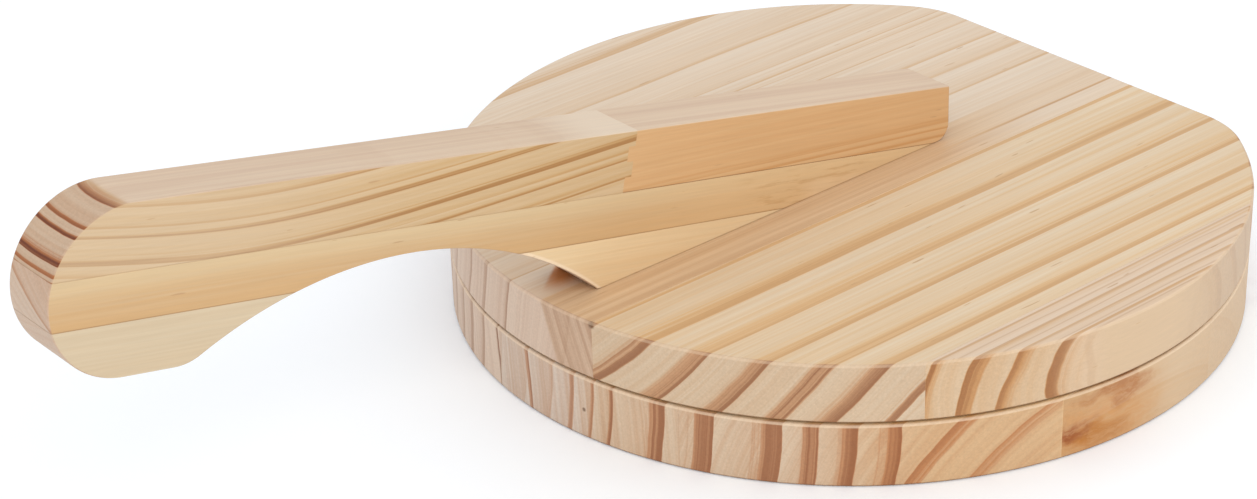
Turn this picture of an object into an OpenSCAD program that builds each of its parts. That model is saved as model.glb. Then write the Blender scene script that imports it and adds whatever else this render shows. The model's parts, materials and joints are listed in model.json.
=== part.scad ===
// Wooden tortilla press: two round boards joined by a pair of butt hinges at a flat edge, and a
// bat-shaped lever glued and screwed to the upper board.
// The origin is the centre of the round on the underside, +Z is up and +Y points to the hinges.

/* [Boards] */
// Diameter of both round boards
board_d = 240; // [216:1:270]
// Distance from the centre of the round to the flat hinge edge
flat_y = 103; // [96:0.5:107]
// Radius that blends each end of the flat into the round
flat_corner_r = 30; // [10:1:45]
// Thickness of the base board
base_t = 19.5; // [17:0.5:26]
// Thickness of the lid board
lid_t = 18; // [17:0.5:24]
// Gap between the closed boards
closing_gap = 0.6; // [0.4:0.1:1.5]
// Chamfer that eases the edges of the boards
edge_ease = 1; // [0.5:0.1:2]

/* [Staves] */
// Width of the base stave at the left rim
base_left_w = 32.6; // [20:0.1:45]
// Width of the narrow base stave at the right rim
base_right_w = 4; // [2.5:0.1:12]
// Width of the lid stave at the left rim
lid_left_w = 64.6; // [50:0.1:75]
// Width of the lid stave at the right rim
lid_right_w = 20.6; // [12:0.1:30]

/* [Handle] */
// Length of the handle along its top edge line, with the round end
handle_l = 308.1; // [260:1:340]
// Width of the blank that the handle is sawn from
handle_w = 46; // [40:0.5:52]
// Thickness of the handle
handle_t = 18; // [14:0.5:24]
// Slope of the handle from the lid
handle_slope = 12.2; // [9:0.1:15]
// Place of the handle's rear face, forward of the flat edge
handle_setback = 68.5; // [55:0.5:80]
// Height of the handle's rear face above the lid
handle_rear_h = 17.2; // [13:0.5:20]
// Radius of the lower corner of the rear face
handle_rear_r = 5; // [2:0.5:8]
// Radius of the sawn neck
neck_r = 120; // [100:1:150]
// Depth of the handle that is left at the middle of the neck
neck_h = 25.6; // [21:0.1:30]
// Place of the middle of the neck along the handle
neck_u = 199.4; // [180:0.2:215]
// Radius that blends the neck into the lower edge of the belly
belly_corner_r = 14; // [5:0.5:30]
// Depth of the top strip of the blank
top_strip_h = 18.1; // [14:0.1:20]
// Depth of the middle strip of the blank
middle_strip_h = 13.1; // [9:0.1:15]
// Place of the finger joint along the top strip
finger_u = 128; // [100:1:150]
// Length of a finger of the joint
finger_l = 2.3; // [1:0.1:8]

/* [Hinges] */
// Distance between the centres of the two hinges
hinge_spread = 54; // [44:0.5:60]
// Width of a hinge
hinge_w = 32; // [28:0.5:36]
// Height of a hinge leaf from the pin's axis
leaf_h = 15; // [13:0.5:16.5]
// Thickness of a hinge leaf
leaf_t = 1.2; // [0.8:0.1:1.6]
// Radius of the corners of a hinge leaf
leaf_corner_r = 2; // [1:0.1:3]
// Radius of a hinge pin
pin_r = 1.25; // [1:0.05:2]
// Radius of the riveted head at each end of a pin
pin_head_r = 1.9; // [1.5:0.05:2.3]
// Thickness of a pin's head
pin_head_t = 0.7; // [0.4:0.1:1.2]
// Clearance of a pin in the lid's knuckle
pin_run_fit = 0.05; // [0.02:0.01:0.1]
// Clearance of a pin in the base's knuckles
pin_seat_fit = 0.02; // [0.01:0.01:0.04]
// Gap between two knuckles
knuckle_gap = 0.3; // [0.1:0.05:0.6]

/* [Screws] */
// Distance between the two screws of a leaf
leaf_screw_pitch = 22; // [18:0.5:23]
// Height of a leaf's screws from the pin's axis
leaf_screw_h = 9.5; // [8:0.1:11]
// Shank radius of a hinge screw
leaf_screw_r = 1.4; // [1.1:0.05:1.6]
// Head radius of a hinge screw
leaf_screw_head_r = 2.6; // [2.2:0.1:3]
// Length of a hinge screw
leaf_screw_l = 12; // [9:0.5:16]
// Shank radius of a handle screw
handle_screw_r = 2; // [1.6:0.1:2.5]
// Head radius of a handle screw
handle_screw_head_r = 4; // [3.2:0.1:4.6]
// Length of a handle screw
handle_screw_l = 35; // [28:0.5:36]
// Distance from the handle's rear face to the first handle screw
handle_screw_start = 26; // [20:0.5:30]
// Distance between two handle screws
handle_screw_pitch = 46; // [30:0.5:48]
// Clearance of a screw in its hole
screw_fit = 0.03; // [0.01:0.01:0.1]

/* [Hidden] */
$fn = 64;
round_fn = 240;

// How far a cut runs out past the wood
cut_over = 1;

// Boards
board_r = board_d / 2;
lid_z = base_t + closing_gap;
lid_top_z = lid_z + lid_t;
corner_y = flat_y - flat_corner_r;
corner_x = sqrt(pow(board_r - flat_corner_r, 2) - pow(corner_y, 2));
base_inner_w = (board_d - base_left_w - base_right_w) / 3;
lid_inner_w = (board_d - lid_left_w - lid_right_w) / 2;
base_joints = [
    -board_r, for (i = [0 : 3]) base_left_w - board_r + i * base_inner_w, board_r];
lid_joints = [
    -board_r, for (i = [0 : 2]) lid_left_w - board_r + i * lid_inner_w, board_r];

// Hinges
barrel_r = pin_r + pin_run_fit + leaf_t;
axis_y = flat_y + barrel_r;
axis_z = base_t + closing_gap / 2;
lid_knuckle_w = hinge_w / 3;
base_knuckle_w = (hinge_w - lid_knuckle_w) / 2 - knuckle_gap;
knuckle_clear = barrel_r + knuckle_gap;
lid_span = [[-lid_knuckle_w / 2, lid_knuckle_w / 2]];
base_spans = [
    [-hinge_w / 2, base_knuckle_w - hinge_w / 2], [hinge_w / 2 - base_knuckle_w, hinge_w / 2]];
leaf_screw_head_h = leaf_t;

// Cross recess of a screw: its length, width and depth for a head of radius 1
recess_l_share = 1.1;
recess_w_share = 0.26;
recess_d_share = 0.35;

// Handle
rear_y = flat_y - handle_setback;
rear_top_z = lid_top_z + handle_rear_h;
end_r = handle_w / 2;
handle_screw_head_h = handle_screw_head_r - handle_screw_r;
handle_screw_count = 3;
finger_count = 4;
neck_v = neck_h + neck_r;
belly_corner_v = handle_w - belly_corner_r;
belly_corner_u =
    neck_u + sqrt(pow(neck_r + belly_corner_r, 2) - pow(neck_v - belly_corner_v, 2));

pine = "burlywood";
orange_pine = "peru";
steel = "silver";

// A round disc with eased edges, on z = 0
module eased_disc(r, t) {
    rotate_extrude($fn = round_fn)
        polygon([
            [0, 0], [r - edge_ease, 0], [r, edge_ease],
            [r, t - edge_ease], [r - edge_ease, t], [0, t]]);
}

// What is cut away outside the rounded corner at one end of the flat
module flat_corner_waste(t) {
    reach = 2 * flat_corner_r;
    tangent = atan2(corner_y, corner_x);
    translate([corner_x, corner_y, 0])
        difference() {
            translate([0, 0, -cut_over])
                linear_extrude(t + 2 * cut_over)
                    polygon([
                        [0, 0], [reach * cos(tangent), reach * sin(tangent)],
                        [reach, reach], [0, reach]]);
            eased_disc(flat_corner_r, t);
        }
}

// A whole board of thickness t, on z = 0
module board_blank(t) {
    difference() {
        intersection() {
            eased_disc(board_r, t);
            rotate([90, 0, 90])
                linear_extrude(board_d, center = true)
                    polygon([
                        [-board_r, 0], [flat_y - edge_ease, 0], [flat_y, edge_ease],
                        [flat_y, t - edge_ease], [flat_y - edge_ease, t], [-board_r, t]]);
        }
        flat_corner_waste(t);
        mirror([1, 0, 0])
            flat_corner_waste(t);
    }
}

// The board between two glue lines
module stave(t, x_from, x_to) {
    intersection() {
        board_blank(t);
        translate([x_from, -board_r, 0])
            cube([x_to - x_from, board_d, t]);
    }
}

// A countersunk wood screw along -Z, its head's face on z = 0; fit grows it into its own hole
module wood_screw(shank_r, head_r, head_h, length, fit = 0) {
    rotate_extrude()
        polygon([
            [0, 0], [head_r + fit, 0], [shank_r + fit, -head_h],
            [shank_r + fit, 2 * shank_r - length], [0, -length - fit]]);
}

// The cross recess in the head of such a screw
module cross_recess(head_r) {
    slot_l = recess_l_share * head_r;
    slot_w = recess_w_share * head_r;
    slot_d = recess_d_share * head_r;
    for (turn = [0, 90])
        rotate(turn)
            translate([-slot_l / 2, -slot_w / 2, -slot_d])
                cube([slot_l, slot_w, 2 * slot_d]);
}

// Places of the hinge screws, side = 1 for the lid and -1 for the base
module at_leaf_screws(side) {
    for (hinge_x = [-hinge_spread / 2, hinge_spread / 2])
        for (x = [-leaf_screw_pitch / 2, leaf_screw_pitch / 2])
            translate([hinge_x + x, flat_y + leaf_t, axis_z + side * leaf_screw_h])
                rotate([-90, 0, 0])
                    children();
}

module leaf_screw(fit = 0) {
    wood_screw(leaf_screw_r, leaf_screw_head_r, leaf_screw_head_h, leaf_screw_l, fit);
}

// Places of the handle screws, heads down on the lid's underside
module at_handle_screws() {
    for (i = [0 : handle_screw_count - 1])
        translate([0, rear_y - handle_screw_start - i * handle_screw_pitch, lid_z])
            rotate([180, 0, 0])
                children();
}

module handle_screw(fit = 0) {
    wood_screw(handle_screw_r, handle_screw_head_r, handle_screw_head_h, handle_screw_l, fit);
}

module base_stave(i) {
    color(pine)
        difference() {
            stave(base_t, base_joints[i - 1], base_joints[i]);
            at_leaf_screws(-1)
                leaf_screw(screw_fit);
        }
}

module lid_stave(i) {
    color(pine)
        difference() {
            translate([0, 0, lid_z])
                stave(lid_t, lid_joints[i - 1], lid_joints[i]);
            at_leaf_screws(1)
                leaf_screw(screw_fit);
            at_handle_screws()
                handle_screw(screw_fit);
        }
}

// Puts a flat shape, drawn along the blank with its top rear corner at the origin and its length
// along -X, in its sloping place in the side view (Y across, Z up)
module slope_blank() {
    translate([rear_y, rear_top_z])
        rotate(-handle_slope)
            children();
}

// What is cut away, in the blank's flat shape, where the neck rounds over into the belly
module belly_corner_waste() {
    difference() {
        polygon([
            [-belly_corner_u, -belly_corner_v], [-belly_corner_u, -neck_v], [-neck_u, -neck_v]]);
        translate([-belly_corner_u, -belly_corner_v])
            circle(belly_corner_r, $fn = round_fn);
    }
}

// Outline of the whole handle in the side view
module handle_outline() {
    difference() {
        intersection() {
            slope_blank()
                difference() {
                    union() {
                        translate([end_r - handle_l, -handle_w])
                            square([handle_l, handle_w]);
                        translate([end_r - handle_l, -end_r])
                            circle(end_r, $fn = round_fn);
                    }
                    translate([-neck_u, -neck_v])
                        circle(neck_r, $fn = round_fn);
                    belly_corner_waste();
                }
            translate([rear_y - handle_l, lid_top_z])
                square([handle_l, handle_l]);
        }
        translate([rear_y - handle_rear_r, lid_top_z + handle_rear_r])
            difference() {
                translate([0, -2 * handle_rear_r])
                    square(2 * handle_rear_r);
                circle(handle_rear_r);
            }
    }
}

// Flat part of the blank between two depths and two places along it
module blank_part(depth_from, depth_to, u_from, u_to) {
    translate([-u_to, -depth_to])
        square([u_to - u_from, depth_to - depth_from]);
}

// A strip of the handle: its outline cut to the flat part of the blank that is given as a child
module handle_strip() {
    difference() {
        rotate([90, 0, 90])
            linear_extrude(handle_t, center = true)
                intersection() {
                    handle_outline();
                    slope_blank()
                        children();
                }
        at_handle_screws()
            handle_screw(screw_fit);
    }
}

// Flat part of the blank ahead of the finger joint, with every second finger
module front_of_joint() {
    finger_h = top_strip_h / finger_count;
    far_u = handle_l + cut_over;
    blank_part(-cut_over, top_strip_h + cut_over, finger_u, far_u);
    for (i = [0 : 2 : finger_count - 1])
        blank_part(
            i == 0 ? -cut_over : i * finger_h,
            i == finger_count - 1 ? top_strip_h + cut_over : (i + 1) * finger_h,
            finger_u - finger_l, far_u);
}

module handle_top_front() {
    color(pine)
        handle_strip()
            intersection() {
                blank_part(-cut_over, top_strip_h, 0, handle_l);
                front_of_joint();
            }
}

module handle_top_rear() {
    color(orange_pine)
        handle_strip()
            difference() {
                blank_part(-cut_over, top_strip_h, -handle_w, handle_l);
                front_of_joint();
            }
}

module handle_middle() {
    color(pine)
        handle_strip()
            blank_part(top_strip_h, top_strip_h + middle_strip_h, -handle_w, handle_l);
}

module handle_heel() {
    color(pine)
        handle_strip()
            blank_part(top_strip_h + middle_strip_h, handle_w, 0, neck_u);
}

module handle_belly() {
    color(pine)
        handle_strip()
            blank_part(top_strip_h + middle_strip_h, handle_w, neck_u, handle_l);
}

// A row of knuckles along X, each given as [from, to]; radius r
module knuckles(spans, r) {
    for (span = spans)
        translate([span[0], 0, 0])
            rotate([0, 90, 0])
                cylinder(r = r, h = span[1] - span[0]);
}

// A hinge leaf about the pin's axis, its plate upwards; own and other are knuckle spans
module hinge_leaf(own, other, bore_r) {
    difference() {
        union() {
            knuckles(own, barrel_r);
            translate([0, leaf_t - barrel_r, 0])
                rotate([90, 0, 0])
                    linear_extrude(leaf_t)
                        difference() {
                            leaf_plate_outline();
                            for (span = other)
                                translate([span[0] - knuckle_gap, -knuckle_clear])
                                    square([
                                        span[1] - span[0] + 2 * knuckle_gap,
                                        2 * knuckle_clear]);
                        }
        }
        translate([-hinge_w, 0, 0])
            rotate([0, 90, 0])
                cylinder(r = bore_r, h = 2 * hinge_w);
        for (x = [-leaf_screw_pitch / 2, leaf_screw_pitch / 2])
            translate([x, leaf_t - barrel_r, leaf_screw_h])
                rotate([-90, 0, 0])
                    leaf_screw(screw_fit);
    }
}

// Plate of a leaf, its foot on the pin's axis and its upper corners rounded
module leaf_plate_outline() {
    translate([-hinge_w / 2, 0])
        square([hinge_w, leaf_h - leaf_corner_r]);
    translate([leaf_corner_r - hinge_w / 2, 0])
        square([hinge_w - 2 * leaf_corner_r, leaf_h]);
    for (x = [leaf_corner_r - hinge_w / 2, hinge_w / 2 - leaf_corner_r])
        translate([x, leaf_h - leaf_corner_r])
            circle(leaf_corner_r);
}

// Places one hinge, side = -1 for the left one and 1 for the right one
module at_hinge(side) {
    translate([side * hinge_spread / 2, axis_y, axis_z])
        children();
}

module lid_leaf(side) {
    color(steel)
        at_hinge(side)
            hinge_leaf(lid_span, base_spans, pin_r + pin_run_fit);
}

module base_leaf(side) {
    color(steel)
        at_hinge(side)
            mirror([0, 0, 1])
                hinge_leaf(base_spans, lid_span, pin_r + pin_seat_fit);
}

module hinge_pin(side) {
    color(steel)
        at_hinge(side)
            rotate([0, 90, 0])
                union() {
                    cylinder(r = pin_r, h = hinge_w + pin_head_t, center = true);
                    for (end = [0, 1])
                        mirror([0, 0, end])
                            translate([0, 0, hinge_w / 2])
                                cylinder(r1 = pin_head_r, r2 = pin_r, h = pin_head_t);
                }
}

module hinge_screws(side) {
    color(steel)
        at_leaf_screws(side)
            difference() {
                leaf_screw();
                cross_recess(leaf_screw_head_r);
            }
}

module handle_screws() {
    color(steel)
        at_handle_screws()
            difference() {
                handle_screw();
                cross_recess(handle_screw_head_r);
            }
}

base_stave(1);  // base_stave_1
base_stave(2);  // base_stave_2
base_stave(3);  // base_stave_3
base_stave(4);  // base_stave_4
base_stave(5);  // base_stave_5
lid_stave(1);  // lid_stave_1
lid_stave(2);  // lid_stave_2
lid_stave(3);  // lid_stave_3
lid_stave(4);  // lid_stave_4
handle_top_front();
handle_top_rear();
handle_middle();
handle_heel();
handle_belly();
base_leaf(-1);  // hinge_left_base_leaf
lid_leaf(-1);  // hinge_left_lid_leaf
hinge_pin(-1);  // hinge_left_pin
base_leaf(1);  // hinge_right_base_leaf
lid_leaf(1);  // hinge_right_lid_leaf
hinge_pin(1);  // hinge_right_pin
hinge_screws(-1);  // base_hinge_screws
hinge_screws(1);  // lid_hinge_screws
handle_screws();
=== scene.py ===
"""Wooden tortilla press: two round pine boards with a bat-shaped lever, on steel butt hinges."""

import json
import math

import bmesh
import bpy
from mathutils import Matrix, Vector


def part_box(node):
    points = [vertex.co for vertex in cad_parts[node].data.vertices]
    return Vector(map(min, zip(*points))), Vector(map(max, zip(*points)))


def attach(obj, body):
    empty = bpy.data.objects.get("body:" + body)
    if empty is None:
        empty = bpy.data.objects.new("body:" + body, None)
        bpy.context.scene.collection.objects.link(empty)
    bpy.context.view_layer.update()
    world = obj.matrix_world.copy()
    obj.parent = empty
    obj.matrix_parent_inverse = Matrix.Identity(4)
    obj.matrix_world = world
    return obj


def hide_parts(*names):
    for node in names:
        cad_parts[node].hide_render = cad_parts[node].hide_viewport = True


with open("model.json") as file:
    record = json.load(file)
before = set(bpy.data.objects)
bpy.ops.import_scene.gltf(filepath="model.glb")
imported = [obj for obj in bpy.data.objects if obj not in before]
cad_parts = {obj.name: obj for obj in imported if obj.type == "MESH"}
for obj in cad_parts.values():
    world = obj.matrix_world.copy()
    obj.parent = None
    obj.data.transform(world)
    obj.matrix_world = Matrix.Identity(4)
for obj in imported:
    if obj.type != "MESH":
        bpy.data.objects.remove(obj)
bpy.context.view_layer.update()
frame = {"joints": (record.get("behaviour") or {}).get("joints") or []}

MM = 0.001
# Places nearer to each other than SAME are one place, and corners nearer than WELD are merged
SAME = 0.01 * MM
WELD = 0.001 * MM
# How many steps each kind of arc has
STEPS = {"board": 200, "handle": 64, "corner": 12, "rear corner": 10, "leaf corner": 6,
         "roll": 30, "turned": 32}

# Boards: radius, flat hinge edge, the rounding where they meet, and the heights of both boards
BOARD_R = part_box("base_stave_5")[1].x
FLAT_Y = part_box("base_stave_3")[1].y
CORNER_R = 30 * MM
BASE_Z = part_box("base_stave_3")[0].z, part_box("base_stave_3")[1].z
LID_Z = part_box("lid_stave_3")[0].z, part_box("lid_stave_3")[1].z
BOARD_ROUND = 1.0 * MM
GLUE_GROOVE = 0.08 * MM
BASE_STAVES = [f"base_stave_{i}" for i in range(1, 6)]
LID_STAVES = [f"lid_stave_{i}" for i in range(1, 5)]

# Handle, sawn from a blank: u runs forward along it from its top rear corner, v down into it
HANDLE_SLOPE = math.radians(12.2)
HANDLE_HALF_T = 9 * MM
HANDLE_REAR_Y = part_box("handle_top_rear")[1].y
HANDLE_REAR_H = 17.2 * MM
HANDLE_REAR_Z = LID_Z[1] + HANDLE_REAR_H
HANDLE_L = 308.1 * MM
HANDLE_W = 46 * MM
HANDLE_REAR_R = 5 * MM
NECK_R = 120 * MM
NECK_U = 199.4 * MM
NECK_H = 25.6 * MM
BELLY_CORNER_R = 14 * MM
# Depths of the two glue lines that run along it, and the finger joint in its top strip
UPPER_GLUE = 18.1 * MM
LOWER_GLUE = 31.2 * MM
FINGER_U = 128 * MM
FINGER_L = 2.3 * MM
FINGERS = 4
HANDLE_ROUND = 0.4 * MM

# Hinges: a leaf's feet are rolled round the pin through ROLL
HINGE_X = {"left": -27 * MM, "right": 27 * MM}
HINGE_W = 32 * MM
LEAF_H = 15 * MM
LEAF_T = 1.2 * MM
LEAF_CORNER_R = 2 * MM
BARREL_R = 2.5 * MM
PIN_R = 1.25 * MM
PIN_HEAD_R = 1.9 * MM
PIN_HEAD_T = 0.7 * MM
LEAF_ROUND = 0.12 * MM
ROLL = math.radians(298)
KNUCKLE_GAP = 0.3 * MM
AXIS_Y, AXIS_Z = frame["joints"][0]["pos_m"][1:]

# Screws: radii of shank and head, height of the head and length; then where they sit
LEAF_SCREW = {"shank": 1.4 * MM, "head": 2.6 * MM, "head_h": 1.2 * MM, "length": 12 * MM}
HANDLE_SCREW = {"shank": 2.0 * MM, "head": 4.0 * MM, "head_h": 2.0 * MM, "length": 35 * MM}
LEAF_SCREW_X = 11 * MM
LEAF_SCREW_H = 9.5 * MM
HANDLE_SCREWS = 3
HANDLE_SCREW_START = 26 * MM
HANDLE_SCREW_PITCH = 46 * MM
SCREW_FIT = 0.03 * MM
# A screw's thread: radius of its root and pitch, as shares of the shank's radius, the share of
# the screw's length that stays smooth, and places of root and crest as shares of a pitch
THREAD_ROOT = 0.72
THREAD_PITCH = 0.75
SMOOTH_SHANK = 0.2
ROOT_AT, CREST_AT = 0.35, 0.75
# A screw's cross recess, as shares of its head's radius: ends and depth of a slot, and its width
# as a share of its length
RECESS_FOOT = 0.46
RECESS_MOUTH = 0.98
RECESS_DEPTH = 0.8
RECESS_NARROW = 0.22

# Camera and floor
CAMERA_AZIMUTH, CAMERA_ELEVATION, CAMERA_ROLL = (math.radians(d) for d in (50.55, 28.16, -1.96))
CAMERA_AIM = Vector((-0.0408, -0.0521, 0.012))
CAMERA_DISTANCE = 0.894
LENS, SENSOR = 84.34, 36.0
FLOOR_HALF = 6.0


# ---------------------------------------- making shapes

class Outline:
    """A closed flat outline, drawn by straight runs and spun arcs."""

    def __init__(self, start):
        self.bm = bmesh.new()
        self.first = self.last = self.bm.verts.new(start)

    def line(self, point):
        corner = self.bm.verts.new(point)
        self.bm.edges.new((self.last, corner))
        self.last = corner

    def arc(self, centre, axis, angle, steps):
        spun = bmesh.ops.spin(
            self.bm, geom=[self.last], cent=centre, axis=axis, angle=angle, steps=steps)
        self.last = [g for g in spun["geom_last"] if isinstance(g, bmesh.types.BMVert)][0]

    def solid(self, push):
        """Closes the outline and extrudes it by the vector push."""
        if (self.last.co - self.first.co).length > SAME:
            self.bm.edges.new((self.last, self.first))
        bmesh.ops.remove_doubles(self.bm, verts=self.bm.verts, dist=WELD)
        face = bmesh.ops.contextual_create(self.bm, geom=self.bm.edges)["faces"]
        grown = bmesh.ops.extrude_face_region(self.bm, geom=face)["geom"]
        moved = [g for g in grown if isinstance(g, bmesh.types.BMVert)]
        bmesh.ops.translate(self.bm, verts=moved, vec=push)
        bmesh.ops.recalc_face_normals(self.bm, faces=self.bm.faces)
        return self.bm


def round_edges(bm, edges, radius, segments):
    bmesh.ops.bevel(
        bm, geom=edges, offset=radius, offset_type="OFFSET", segments=segments, profile=0.5,
        affect="EDGES", material=-1, clamp_overlap=True)


def cut_off(bm, point, normal):
    """Removes what lies beyond a plane, closes the cut and eases its edge into half a glue groove."""
    cut = bmesh.ops.bisect_plane(
        bm, geom=bm.verts[:] + bm.edges[:] + bm.faces[:], plane_co=point, plane_no=normal,
        dist=WELD / 2, clear_outer=True)
    rim = [g for g in cut["geom_cut"] if isinstance(g, bmesh.types.BMEdge) and g.is_boundary]
    if rim:
        bmesh.ops.contextual_create(bm, geom=rim)
        round_edges(bm, rim, GLUE_GROOVE, 1)


def as_object(bm, name):
    mesh = bpy.data.meshes.new(name)
    bm.to_mesh(mesh)
    bm.free()
    made = bpy.data.objects.new(name, mesh)
    bpy.context.scene.collection.objects.link(made)
    return made


def settle(piece):
    """Applies a piece's modifiers to its mesh."""
    graph = bpy.context.evaluated_depsgraph_get()
    mesh = bpy.data.meshes.new_from_object(
        piece.evaluated_get(graph), preserve_all_data_layers=True, depsgraph=graph)
    piece.modifiers.clear()
    piece.data = mesh


def carve(piece, cutter, operation="DIFFERENCE"):
    boolean = piece.modifiers.new("carve", "BOOLEAN")
    boolean.operation = operation
    boolean.solver = "EXACT"
    boolean.object = cutter
    settle(piece)


def smooth_over(piece, angle=32.0):
    """Shades the piece smooth, with its flat faces kept flat."""
    piece.data.shade_smooth()
    piece.data.set_sharp_from_angle(angle=math.radians(angle))
    weighted = piece.modifiers.new("flat faces", "WEIGHTED_NORMAL")
    weighted.keep_sharp = True
    settle(piece)


def hand_over(piece, node, body, material):
    """Gives a finished piece its material and its place in the frame."""
    piece.data.materials.clear()
    piece.data.materials.append(material)
    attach(piece, body)
    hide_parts(node)


# ---------------------------------------- screws

def screw_profile(sizes, fit=0.0):
    """Half section of a countersunk screw, its head's face on z = 0 and its point down."""
    shank, head = sizes["shank"] + fit, sizes["head"] + fit
    return [
        (0, 0, 0), (head, 0, 0), (shank, 0, -sizes["head_h"]),
        (shank, 0, 2 * sizes["shank"] - sizes["length"]), (0, 0, -sizes["length"] - fit)]


def turned(points):
    """A solid turned about Z from a half section."""
    bm = bmesh.new()
    corners = [bm.verts.new(p) for p in points]
    edges = [bm.edges.new(pair) for pair in zip(corners, corners[1:])]
    bmesh.ops.spin(
        bm, geom=corners + edges, cent=(0, 0, 0), axis=(0, 0, 1), angle=2 * math.pi,
        steps=STEPS["turned"], use_merge=True)
    bmesh.ops.remove_doubles(bm, verts=bm.verts, dist=WELD / 2)
    bmesh.ops.recalc_face_normals(bm, faces=bm.faces)
    return bm


def leaf_screw_places(side):
    """Places of one board's hinge screws, heads to the back; side is 1 for the lid, -1 for the base."""
    turn = Matrix.Rotation(math.radians(-90), 4, "X")
    return [
        Matrix.Translation((hinge_x + x, FLAT_Y + LEAF_T, AXIS_Z + side * LEAF_SCREW_H)) @ turn
        for hinge_x in HINGE_X.values() for x in (-LEAF_SCREW_X, LEAF_SCREW_X)]


def handle_screw_places():
    """Places of the handle's screws, heads down on the lid's pressing face."""
    turn = Matrix.Rotation(math.pi, 4, "X")
    first_y = HANDLE_REAR_Y - HANDLE_SCREW_START
    return [
        Matrix.Translation((0, first_y - i * HANDLE_SCREW_PITCH, LID_Z[0])) @ turn
        for i in range(HANDLE_SCREWS)]


def at_places(bm, places):
    """Copies of a bmesh at each place, as one bmesh."""
    mesh = bpy.data.meshes.new("copy")
    bm.to_mesh(mesh)
    bm.free()
    row = bmesh.new()
    for place in places:
        old = set(row.verts)
        row.from_mesh(mesh)
        new = [v for v in row.verts if v not in old]
        bmesh.ops.transform(row, matrix=place, verts=new)
    bpy.data.meshes.remove(mesh)
    return row


def screw_holes():
    """Two cutters: one for the holes of all hinge screws, and one for those of the handle screws."""
    leaf_places = leaf_screw_places(1) + leaf_screw_places(-1)
    return [
        as_object(at_places(turned(screw_profile(sizes, SCREW_FIT)), places), name)
        for name, sizes, places in (
            ("leaf screw holes", LEAF_SCREW, leaf_places),
            ("handle screw holes", HANDLE_SCREW, handle_screw_places()))]


# ---------------------------------------- boards

def board_blank(z_from, z_to):
    """A whole board: its outline has one flat, and its rims are rounded over."""
    corner_y = FLAT_Y - CORNER_R
    corner_x = math.sqrt((BOARD_R - CORNER_R) ** 2 - corner_y ** 2)
    tangent = math.atan2(corner_y, corner_x)
    corner_turn = math.pi / 2 - tangent
    up = (0, 0, 1)
    outline = Outline((corner_x, FLAT_Y, z_from))
    outline.arc((corner_x, corner_y, z_from), up, -corner_turn, STEPS["corner"])
    outline.arc((0, 0, z_from), up, -(math.pi + 2 * tangent), STEPS["board"])
    outline.arc((-corner_x, corner_y, z_from), up, -corner_turn, STEPS["corner"])
    bm = outline.solid((0, 0, z_to - z_from))
    rims = [e for e in bm.edges if abs(e.verts[0].co.z - e.verts[1].co.z) < SAME]
    round_edges(bm, rims, BOARD_ROUND, 4)
    return bm


def stave(node, z_range):
    """The part of a board between its node's two glue lines."""
    lo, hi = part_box(node)
    bm = board_blank(*z_range)
    for x, outwards in ((hi.x, 1), (lo.x, -1)):
        if abs(x) < BOARD_R - SAME:
            cut_off(bm, (x, 0, 0), (outwards, 0, 0))
    return as_object(bm, node + "_planed")


def make_boards(holes, woods):
    for names, z_range, body, slot in (
            (BASE_STAVES, BASE_Z, "base", "base_pine"), (LID_STAVES, LID_Z, "lid", "lid_pine")):
        for node in names:
            piece = stave(node, z_range)
            for cutter in holes:
                carve(piece, cutter)
            smooth_over(piece)
            hand_over(piece, node, body, woods[node])


# ---------------------------------------- handle

def in_blank(u, v, x=0.0):
    """A place u along the handle's blank and v deep in it."""
    c, s = math.cos(HANDLE_SLOPE), math.sin(HANDLE_SLOPE)
    return Vector((x, HANDLE_REAR_Y - u * c - v * s, HANDLE_REAR_Z + u * s - v * c))


def handle_blank():
    """The whole handle: top edge, half-round end, sawn neck, foot on the lid and rear face."""
    left = -HANDLE_HALF_T
    end_r = HANDLE_W / 2
    end_u = HANDLE_L - end_r
    neck_v = NECK_H + NECK_R
    corner_v = HANDLE_W - BELLY_CORNER_R
    corner_u = NECK_U + math.sqrt(
        (NECK_R + BELLY_CORNER_R) ** 2 - (neck_v - corner_v) ** 2)
    front_turn = math.atan2(corner_u - NECK_U, neck_v - corner_v)
    rear_turn = math.acos((neck_v - HANDLE_W) / NECK_R)
    foot_u = (LID_Z[1] - HANDLE_REAR_Z + HANDLE_W * math.cos(HANDLE_SLOPE)) / math.sin(HANDLE_SLOPE)
    side = (1, 0, 0)
    outline = Outline(in_blank(0, 0, left))
    outline.line(in_blank(end_u, 0, left))
    outline.arc(in_blank(end_u, end_r, left), side, math.pi, STEPS["handle"])
    outline.line(in_blank(corner_u, HANDLE_W, left))
    outline.arc(in_blank(corner_u, corner_v, left), side, front_turn, STEPS["corner"])
    outline.arc(in_blank(NECK_U, neck_v, left), side, -(front_turn + rear_turn), STEPS["handle"])
    outline.line(in_blank(foot_u, HANDLE_W, left))
    outline.line((left, HANDLE_REAR_Y - HANDLE_REAR_R, LID_Z[1]))
    rear_corner = (left, HANDLE_REAR_Y - HANDLE_REAR_R, LID_Z[1] + HANDLE_REAR_R)
    outline.arc(rear_corner, side, math.pi / 2, STEPS["rear corner"])
    bm = outline.solid((2 * HANDLE_HALF_T, 0, 0))
    foot = LID_Z[1] + SAME
    sides = [
        e for e in bm.edges
        if abs(e.verts[0].co.x - e.verts[1].co.x) < SAME
        and max(v.co.z for v in e.verts) > foot]
    rear_top = [
        e for e in bm.edges
        if all((v.co - in_blank(0, 0, v.co.x)).length < SAME for v in e.verts)]
    round_edges(bm, sides + rear_top, HANDLE_ROUND, 3)
    return bm


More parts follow.
